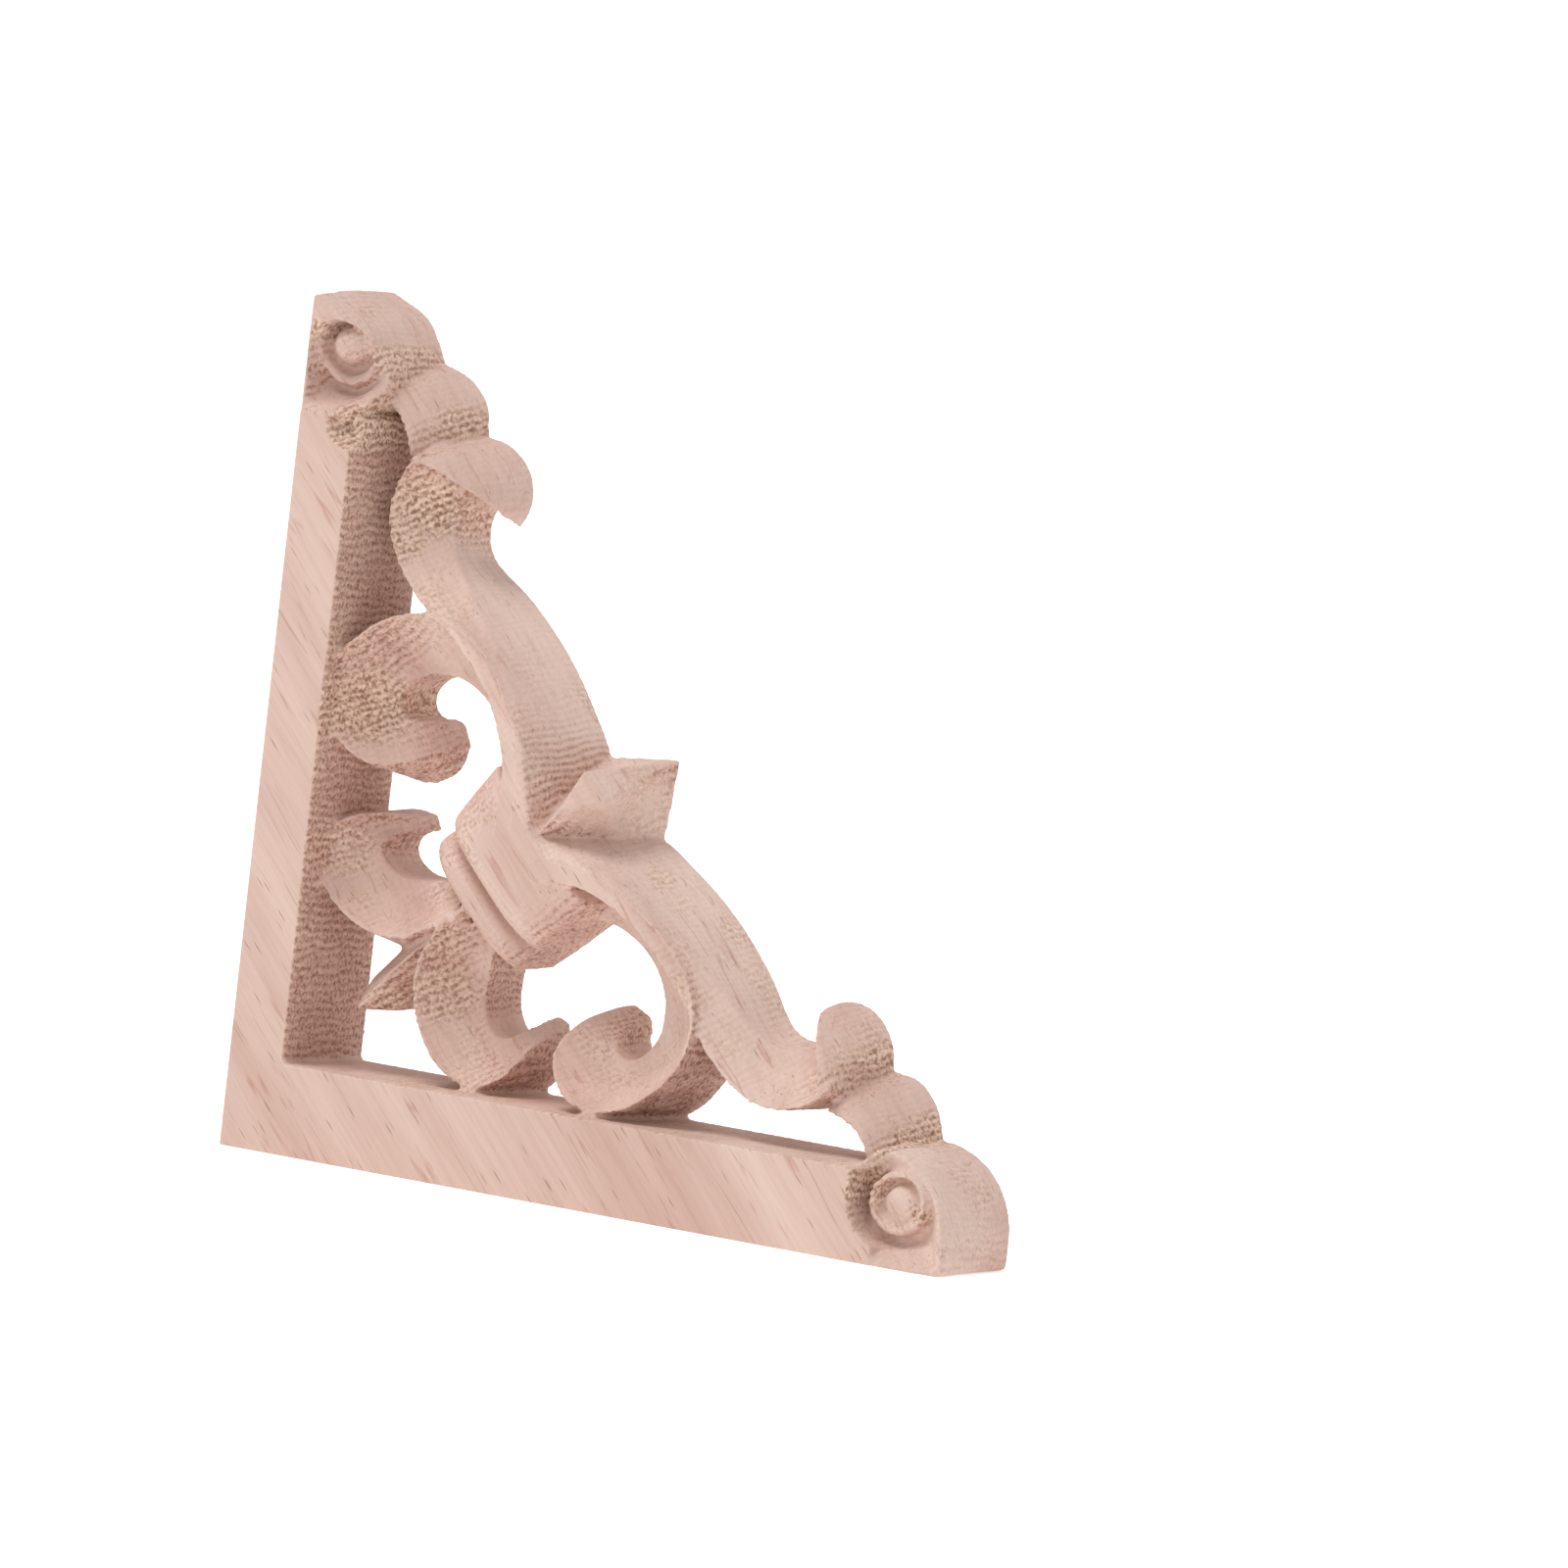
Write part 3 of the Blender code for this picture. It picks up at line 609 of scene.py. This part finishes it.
def carving():
    """All elements overlapping in one mesh, in mm, before they are fused."""
    groove = [(EYE_END[1] + END_GROOVE * math.sin(t), EYE_END[0] + END_GROOVE * math.cos(t))
              for t in np.radians(END_GROOVE_TURNS)]
    frame = [(LEFT, BOTTOM), (groove[0][0], BOTTOM)] + groove
    frame += [(groove[-1][0], INNER_Z), (INNER_X, INNER_Z), (INNER_X, BAR_END), (LEFT, BAR_END)]
    body = cut(prism("bars", frame, 0.0, BACK), ball(*SLOT_SCOOP))
    parts = []
    for mirror in (False, True):
        parts += [volute(mirror), fan("hook", HOOK_EDGE, HOOK_BACK, mirror),
                  fan("curl", CURL_EDGE, CURL_BACK, mirror), s_band(mirror),
                  scroll("c_scroll", C_RIM, C_LIP, C_DRAFT, mirror),
                  scroll("corner_scroll", N_RIM, N_LIP, N_DRAFT, mirror)]
    return join(parts + [body, star(), collar(), leaf()])


def neighbours_mean(points, edges):
    """Mean of the neighbours of each point."""
    total = np.zeros_like(points)
    count = np.zeros(len(points))
    np.add.at(total, edges[:, 0], points[edges[:, 1]])
    np.add.at(total, edges[:, 1], points[edges[:, 0]])
    np.add.at(count, edges.ravel(), 1)
    return total / np.maximum(count, 1)[:, None]


def read(mesh):
    """Points, normals and edges of a mesh as arrays."""
    co = np.empty(len(mesh.vertices) * 3)
    mesh.vertices.foreach_get("co", co)
    no = np.empty(len(mesh.vertices) * 3)
    mesh.vertices.foreach_get("normal", no)
    edges = np.empty(len(mesh.edges) * 2, int)
    mesh.edges.foreach_get("vertices", edges)
    return co.reshape(-1, 3), no.reshape(-1, 3), edges.reshape(-1, 2)


def write(mesh, co):
    """Points of a mesh set from an array."""
    mesh.vertices.foreach_set("co", co.ravel())
    mesh.update()


def ripple(points, size, seed):
    """Smooth pseudo-random field between about -1 and 1 with features of one size."""
    rng = np.random.default_rng(seed)
    total = np.zeros(len(points))
    for _ in range(WAVES):
        d = rng.normal(size=3)
        d *= 2 * math.pi / (size * np.linalg.norm(d) * rng.uniform(0.7, 1.5))
        total += np.sin(points @ d + rng.uniform(0, 2 * math.pi))
    return total / math.sqrt(WAVES)


def smooth_step(low, high, x):
    """Smooth rise from 0 at low to 1 at high; low may be the larger of the two."""
    t = np.clip((x - low) / (high - low), 0.0, 1.0)
    return t * t * (3 - 2 * t)


def calm(co):
    """1 at the outer ends of both members, 0 elsewhere."""
    return smooth_step(*CALM_ENDS, np.maximum(co[:, 0], co[:, 2]))


def tool_marks(co, no):
    """Depth of the cutter's ridges and torn grain at each point, in mm."""
    planed = smooth_step(*PLANED_FRONT, co[:, 1])
    for inward in (BACK - co[:, 1], co[:, 0] - LEFT, co[:, 2] - BOTTOM):
        planed = planed + smooth_step(*PLANED_SIDE, inward)
    worked = 1.0 - np.clip(planed, 0.0, 1.0)
    torn = smooth_step(*TORN_FACING, no @ END_GRAIN) * (1.0 - CALM_SHARE * calm(co))
    for x, z, radius, share in PATCHES:
        apart = np.hypot(co[:, 0] - x, co[:, 2] - z)
        torn = np.maximum(torn, share * smooth_step(radius, PATCH_CORE * radius, apart))
    for x, z, radius in CLEAN:
        apart = np.hypot(co[:, 0] - x, co[:, 2] - z)
        torn *= 1.0 - CLEAN_SHARE * smooth_step(radius, CLEAN_CORE * radius, apart)
    mean, swing, size = TORN_VARIES
    patch = mean + swing * ripple(co, size, SEEDS[0])
    phase = (co @ PASS) / PASS_PITCH
    for vector, start, share in WOBBLE:
        phase += share * np.sin(co @ np.array(vector) + start)
    wave = 0.5 * np.cos(2 * math.pi * phase)
    grit = ripple(co, GRIT_SIZES[0], SEEDS[1]) * ripple(co, GRIT_SIZES[1], SEEDS[2])
    height = (RIDGE + TORN * torn * patch) * wave + torn * GRIT * grit
    return height * worked


def fuse(points, faces):
    """One closed skin round all elements, smoothed, tool marked and moved to the row frame."""
    obj = mesh_object("carving", points, faces)
    mod = obj.modifiers.new("fuse", "REMESH")
    mod.mode = "VOXEL"
    mod.voxel_size = VOXEL
    mod.adaptivity = 0.0
    applied(obj)
    co, _, edges = read(obj.data)
    passes, strength = SMOOTHING
    for _ in range(passes):
        co += strength * (neighbours_mean(co, edges) - co)
    write(obj.data, co)
    co, no, _ = read(obj.data)
    co += no * tool_marks(co, no)[:, None]
    write(obj.data, co)
    triangles = sum(len(p.vertices) - 2 for p in obj.data.polygons)
    if triangles > FACES:
        mod = obj.modifiers.new("thin", "DECIMATE")
        mod.ratio = FACES / triangles
        applied(obj)
    obj.data.transform(Matrix.Scale(MM, 4) @ Matrix.Translation(-SHIFT))
    for p in obj.data.polygons:
        p.use_smooth = True
    return obj


def maths(tree, operation, a, b=None):
    """A Math node on sockets or plain numbers; returns its output socket."""
    made = tree.nodes.new("ShaderNodeMath")
    made.operation = operation
    for i, value in enumerate((a, b)):
        if isinstance(value, (int, float)):
            made.inputs[i].default_value = value
        elif value is not None:
            tree.links.new(value, made.inputs[i])
    return made.outputs["Value"]


def dot(tree, vector, constant):
    """Dot product of a vector socket and a fixed vector."""
    made = tree.nodes.new("ShaderNodeVectorMath")
    made.operation = "DOT_PRODUCT"
    made.inputs[1].default_value = tuple(constant)
    tree.links.new(vector, made.inputs[0])
    return made.outputs["Value"]


def mapping(tree, vector, scale=(1, 1, 1), rotation=(0, 0, 0), location=(0, 0, 0)):
    """Point scaled, then turned, then moved."""
    made = tree.nodes.new("ShaderNodeMapping")
    made.inputs["Scale"].default_value = scale
    made.inputs["Rotation"].default_value = rotation
    made.inputs["Location"].default_value = location
    tree.links.new(vector, made.inputs["Vector"])
    return made.outputs["Vector"]


def noise(tree, vector, detail=3.0):
    """Noise between 0 and 1 at a point that is already scaled."""
    made = tree.nodes.new("ShaderNodeTexNoise")
    made.inputs["Scale"].default_value = 1.0
    made.inputs["Detail"].default_value = detail
    tree.links.new(vector, made.inputs["Vector"])
    return made.outputs["Fac"]


def ramp(tree, value, stops):
    """Value carried through stops of position and colour, or of position and grey."""
    made = tree.nodes.new("ShaderNodeValToRGB")
    while len(made.color_ramp.elements) < len(stops):
        made.color_ramp.elements.new(0.5)
    for element, (position, colour) in zip(made.color_ramp.elements, stops):
        element.position = position
        element.color = (*colour, 1.0) if isinstance(colour, tuple) else (colour,) * 3 + (1.0,)
    tree.links.new(value, made.inputs["Fac"])
    return made.outputs["Color"]


def mix(tree, factor, a, b, blend="MIX"):
    """Colour mixed from two sockets or plain values."""
    made = tree.nodes.new("ShaderNodeMix")
    made.data_type = "RGBA"
    made.blend_type = blend
    for name, value in (("Factor", factor), ("A", a), ("B", b)):
        if isinstance(value, (int, float)):
            made.inputs[name].default_value = value
        elif isinstance(value, tuple):
            made.inputs[name].default_value = (*value, 1.0)
        else:
            tree.links.new(value, made.inputs[name])
    return made.outputs["Result"]


def spread(tree, flat, x, z, radius):
    """Distance from a point of the drawing, in radii."""
    made = tree.nodes.new("ShaderNodeVectorMath")
    made.operation = "DISTANCE"
    made.inputs[1].default_value = (x, 0.0, z)
    tree.links.new(flat, made.inputs[0])
    return maths(tree, "DIVIDE", made.outputs["Value"], radius)


def wood():
    """Raw pale hardwood: growth bands, long pores on side grain, pitted tan end grain; painted
    shade and highlight in its grit and the cutter's ridges.
    """
    mat = bpy.data.materials.new("raw_wood")
    mat.use_nodes = True
    tree = mat.node_tree
    shader = tree.nodes["Principled BSDF"]
    shader.inputs["Roughness"].default_value = WOOD_ROUGHNESS
    shader.inputs["Specular IOR Level"].default_value = WOOD_SPECULAR
    where = tree.nodes.new("ShaderNodeTexCoord").outputs["Object"]
    drawn = mapping(tree, where, scale=(1 / MM, 1 / MM, 1 / MM), location=tuple(SHIFT))
    grain = mapping(tree, drawn, rotation=(0.0, math.radians(GRAIN_ANGLE), 0.0))

    band = noise(tree, mapping(tree, grain, scale=BAND_SCALE))
    tone = ramp(tree, band, BAND_TONES)
    fine = noise(tree, mapping(tree, grain, scale=FIBRE_SCALE), 4.0)
    tone = mix(tree, 1.0, tone, ramp(tree, fine, FIBRE_TONES), "MULTIPLY")

    ring = noise(tree, mapping(tree, grain, scale=RING_SCALE), 2.0)
    ring = ramp(tree, maths(tree, "ABSOLUTE", maths(tree, "SUBTRACT", ring, 0.5)), RING_STOPS)
    broken = noise(tree, mapping(tree, grain, scale=BREAK_SCALE), 2.0)
    ring = maths(tree, "MULTIPLY", ring, ramp(tree, broken, BREAK_STOPS))

    cells = tree.nodes.new("ShaderNodeTexVoronoi")
    cells.inputs["Scale"].default_value = 1.0
    tree.links.new(mapping(tree, grain, scale=PORE_SCALE), cells.inputs["Vector"])
    chosen = tree.nodes.new("ShaderNodeSeparateColor")
    tree.links.new(cells.outputs["Color"], chosen.inputs["Color"])
    pore = maths(tree, "MULTIPLY", ramp(tree, cells.outputs["Distance"], PORE_STOPS),
                 maths(tree, "GREATER_THAN", chosen.outputs["Red"], PORE_CHOICE))

    geometry = tree.nodes.new("ShaderNodeNewGeometry")
    facing = dot(tree, geometry.outputs["Normal"], END_GRAIN)
    axes = tree.nodes.new("ShaderNodeSeparateXYZ")
    tree.links.new(drawn, axes.inputs["Vector"])
    far = maths(tree, "MAXIMUM", axes.outputs["X"], axes.outputs["Z"])
    far = maths(tree, "DIVIDE", maths(tree, "SUBTRACT", far, CALM_ENDS[0]),
                CALM_ENDS[1] - CALM_ENDS[0])
    clean = maths(tree, "MULTIPLY", ramp(tree, far, [(0.0, 0), (1.0, 1)]), CALM_SHARE)
    torn = maths(tree, "MULTIPLY",
                 ramp(tree, facing, [(TORN_FACING[0], 0), (TORN_FACING[1], 1)]),
                 maths(tree, "SUBTRACT", 1.0, clean))
    flat = mapping(tree, drawn, scale=(1, 0, 1))
    patches = 0.0
    for x, z, radius, share in PATCHES:
        near = ramp(tree, spread(tree, flat, x, z, radius), [(PATCH_CORE, share), (1.0, 0)])
        patches = maths(tree, "MAXIMUM", patches, near)
    loose = noise(tree, mapping(tree, drawn, scale=LOOSE_SCALE), 2.0)
    loose = ramp(tree, loose, LOOSE_STOPS)
    square = dot(tree, geometry.outputs["Normal"], (0, 1, 0))
    worked = ramp(tree, maths(tree, "ABSOLUTE", square), FACE_STOPS)
    inside = maths(tree, "MINIMUM", maths(tree, "SUBTRACT", axes.outputs["X"], LEFT),
                   maths(tree, "SUBTRACT", axes.outputs["Z"], BOTTOM))
    worked = maths(tree, "MULTIPLY", worked, ramp(tree, inside, INSIDE_STOPS))
    patches = maths(tree, "MAXIMUM", patches, maths(tree, "MULTIPLY", loose, LOOSE_SHARE))
    patches = maths(tree, "MULTIPLY", patches, worked)
    torn = maths(tree, "MAXIMUM", torn, patches)
    for x, z, radius in CLEAN:
        rest = ramp(tree, spread(tree, flat, x, z, radius),
                    [(CLEAN_CORE, 1.0 - CLEAN_SHARE), (1.0, 1)])
        torn = maths(tree, "MULTIPLY", torn, rest)
    torn = maths(tree, "MULTIPLY", torn, worked)

    phase = maths(tree, "DIVIDE", dot(tree, drawn, PASS), PASS_PITCH)
    for vector, start, share in WOBBLE:
        swing = maths(tree, "SINE", maths(tree, "ADD", dot(tree, drawn, vector), start))
        phase = maths(tree, "ADD", phase, maths(tree, "MULTIPLY", swing, share))
    ridge = maths(tree, "COSINE", maths(tree, "MULTIPLY", phase, 2 * math.pi))

    crumb = noise(tree, mapping(tree, drawn, scale=CRUMB_SCALE), 3.0)
    # grit: crumbs plus a share of the cutter's ridges; it drives the painted shade and
    # highlight below
    grit = maths(tree, "ADD", crumb, maths(tree, "MULTIPLY", ridge, RIDGE_SHARE))
    ring = maths(tree, "MULTIPLY", ring, maths(tree, "SUBTRACT", 1.0, torn))
    colour = mix(tree, maths(tree, "MULTIPLY", ring, RING_SHARE), tone, RING_COLOUR)
    colour = mix(tree, maths(tree, "SUBTRACT", 1.0, worked), colour, PLANED, "MULTIPLY")
    faint = maths(tree, "MULTIPLY", worked, WORKED_SHARE)
    shade_cover = maths(tree, "MAXIMUM", torn, faint)
    # painted shade over torn and carved wood, darker in grit hollows and ridge valleys, painted
    # highlight on crests
    colour = mix(tree, shade_cover, colour, ramp(tree, grit, PAINTED_SHADE_TONES), "MULTIPLY")
    # tan torn end grain in the patches, with painted shade and painted highlight from its grit
    colour = mix(tree, maths(tree, "MULTIPLY", patches, END_SHARE), colour,
                 ramp(tree, grit, END_GRAIN_AND_SHADE_TONES))
    pits = ramp(tree, noise(tree, mapping(tree, drawn, scale=PIT_SCALE), 2.0), PIT_STOPS)
    pits = maths(tree, "MULTIPLY", pits, torn)
    holes = maths(tree, "MAXIMUM", maths(tree, "MULTIPLY", pore, PORE_SHARE),
                  maths(tree, "MULTIPLY", pits, PIT_SHARE))
    colour = mix(tree, holes, colour, PORE_COLOUR)
    tree.links.new(colour, shader.inputs["Base Color"])

    height = maths(tree, "MULTIPLY", ridge, maths(tree, "ADD", torn, faint))
    height = maths(tree, "ADD", height, maths(tree, "MULTIPLY", fine, FIBRE_BUMP))
    loose_grain = maths(tree, "MULTIPLY", maths(tree, "MULTIPLY", crumb, torn), CRUMB_BUMP)
    height = maths(tree, "ADD", height, loose_grain)
    height = maths(tree, "SUBTRACT", height, maths(tree, "MULTIPLY", holes, HOLE_BUMP))
    bump = tree.nodes.new("ShaderNodeBump")
    bump.inputs["Strength"].default_value = BUMP_STRENGTH
    bump.inputs["Distance"].default_value = BUMP_DISTANCE
    tree.links.new(height, bump.inputs["Height"])
    tree.links.new(bump.outputs["Normal"], shader.inputs["Normal"])
    return mat


def sweep_floor():
    """Pale floor that curves up into a pale backdrop."""
    outline = [(FLOOR_FRONT, 0.0), (FLOOR_BEND, 0.0)]
    outline += [(FLOOR_BEND + FLOOR_RADIUS * math.sin(t),
                 FLOOR_RADIUS - FLOOR_RADIUS * math.cos(t))
                for t in np.linspace(0.1, math.pi / 2, FLOOR_FACETS)]
    outline.append((FLOOR_BEND + FLOOR_RADIUS, FLOOR_TOP))
    bm = bmesh.new()
    rows = [[bm.verts.new((x, y, z)) for x in (-FLOOR_HALF, FLOOR_HALF)] for y, z in outline]
    for a, b in zip(rows, rows[1:]):
        bm.faces.new((a[0], a[1], b[1], b[0]))
    mesh = bpy.data.meshes.new("floor")
    bm.to_mesh(mesh)
    bm.free()
    for p in mesh.polygons:
        p.use_smooth = True
    obj = bpy.data.objects.new("floor", mesh)
    bpy.context.scene.collection.objects.link(obj)
    mat = bpy.data.materials.new("pale_floor")
    mat.use_nodes = True
    shader = mat.node_tree.nodes["Principled BSDF"]
    shader.inputs["Base Color"].default_value = FLOOR_COLOUR
    shader.inputs["Roughness"].default_value = FLOOR_ROUGHNESS
    shader.inputs["Emission Color"].default_value = (1.0, 1.0, 1.0, 1.0)
    shader.inputs["Emission Strength"].default_value = FLOOR_GLOW
    mesh.materials.append(mat)


def area_light(name, at, size, power):
    """Round soft lamp that looks at the middle of the piece."""
    data = bpy.data.lights.new(name, "AREA")
    data.shape = "DISK"
    data.size = size
    data.energy = power
    obj = bpy.data.objects.new(name, data)
    obj.location = at
    obj.rotation_mode = "QUATERNION"
    obj.rotation_quaternion = (Vector(LAMP_TARGET) - Vector(at)).to_track_quat("-Z", "Y")
    bpy.context.scene.collection.objects.link(obj)


def studio():
    """Plain view transform, pale surroundings and the lamps."""
    bpy.context.scene.view_settings.view_transform = "Standard"
    world = bpy.data.worlds.new("studio")
    bpy.context.scene.world = world
    world.use_nodes = True
    background = world.node_tree.nodes["Background"]
    background.inputs["Color"].default_value = STUDIO_COLOUR
    background.inputs["Strength"].default_value = STUDIO_STRENGTH
    for lamp in LAMPS:
        area_light(*lamp)


def camera():
    """Camera fitted to the photograph."""
    angle = Vector(CAMERA_TURN)
    turn = Matrix.Rotation(angle.length, 3, angle.normalized())
    spot = -(turn.transposed() @ Vector(CAMERA_SHIFT)) - SHIFT
    data = bpy.data.cameras.new("camera")
    data.sensor_width = SENSOR
    data.lens = CAMERA_FOCUS / FRAME_PIXELS * SENSOR
    data.clip_start, data.clip_end = CLIP
    obj = bpy.data.objects.new("camera", data)
    basis = Matrix((turn[0], -turn[1], -turn[2])).transposed().to_4x4()
    basis.translation = spot * MM
    obj.matrix_world = basis
    bpy.context.scene.collection.objects.link(obj)
    bpy.context.scene.camera = obj


def main():
    """Carved piece on the solid's part, with floor, light and camera."""
    for obj in list(bpy.data.objects):
        bpy.data.objects.remove(obj)
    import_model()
    camera()
    piece = fuse(*carving())
    piece.name = "carved_onlay"
    piece.data.materials.clear()
    piece.data.materials.append(wood())
    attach(piece, "root")
    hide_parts(NODE)
    sweep_floor()
    studio()


main()
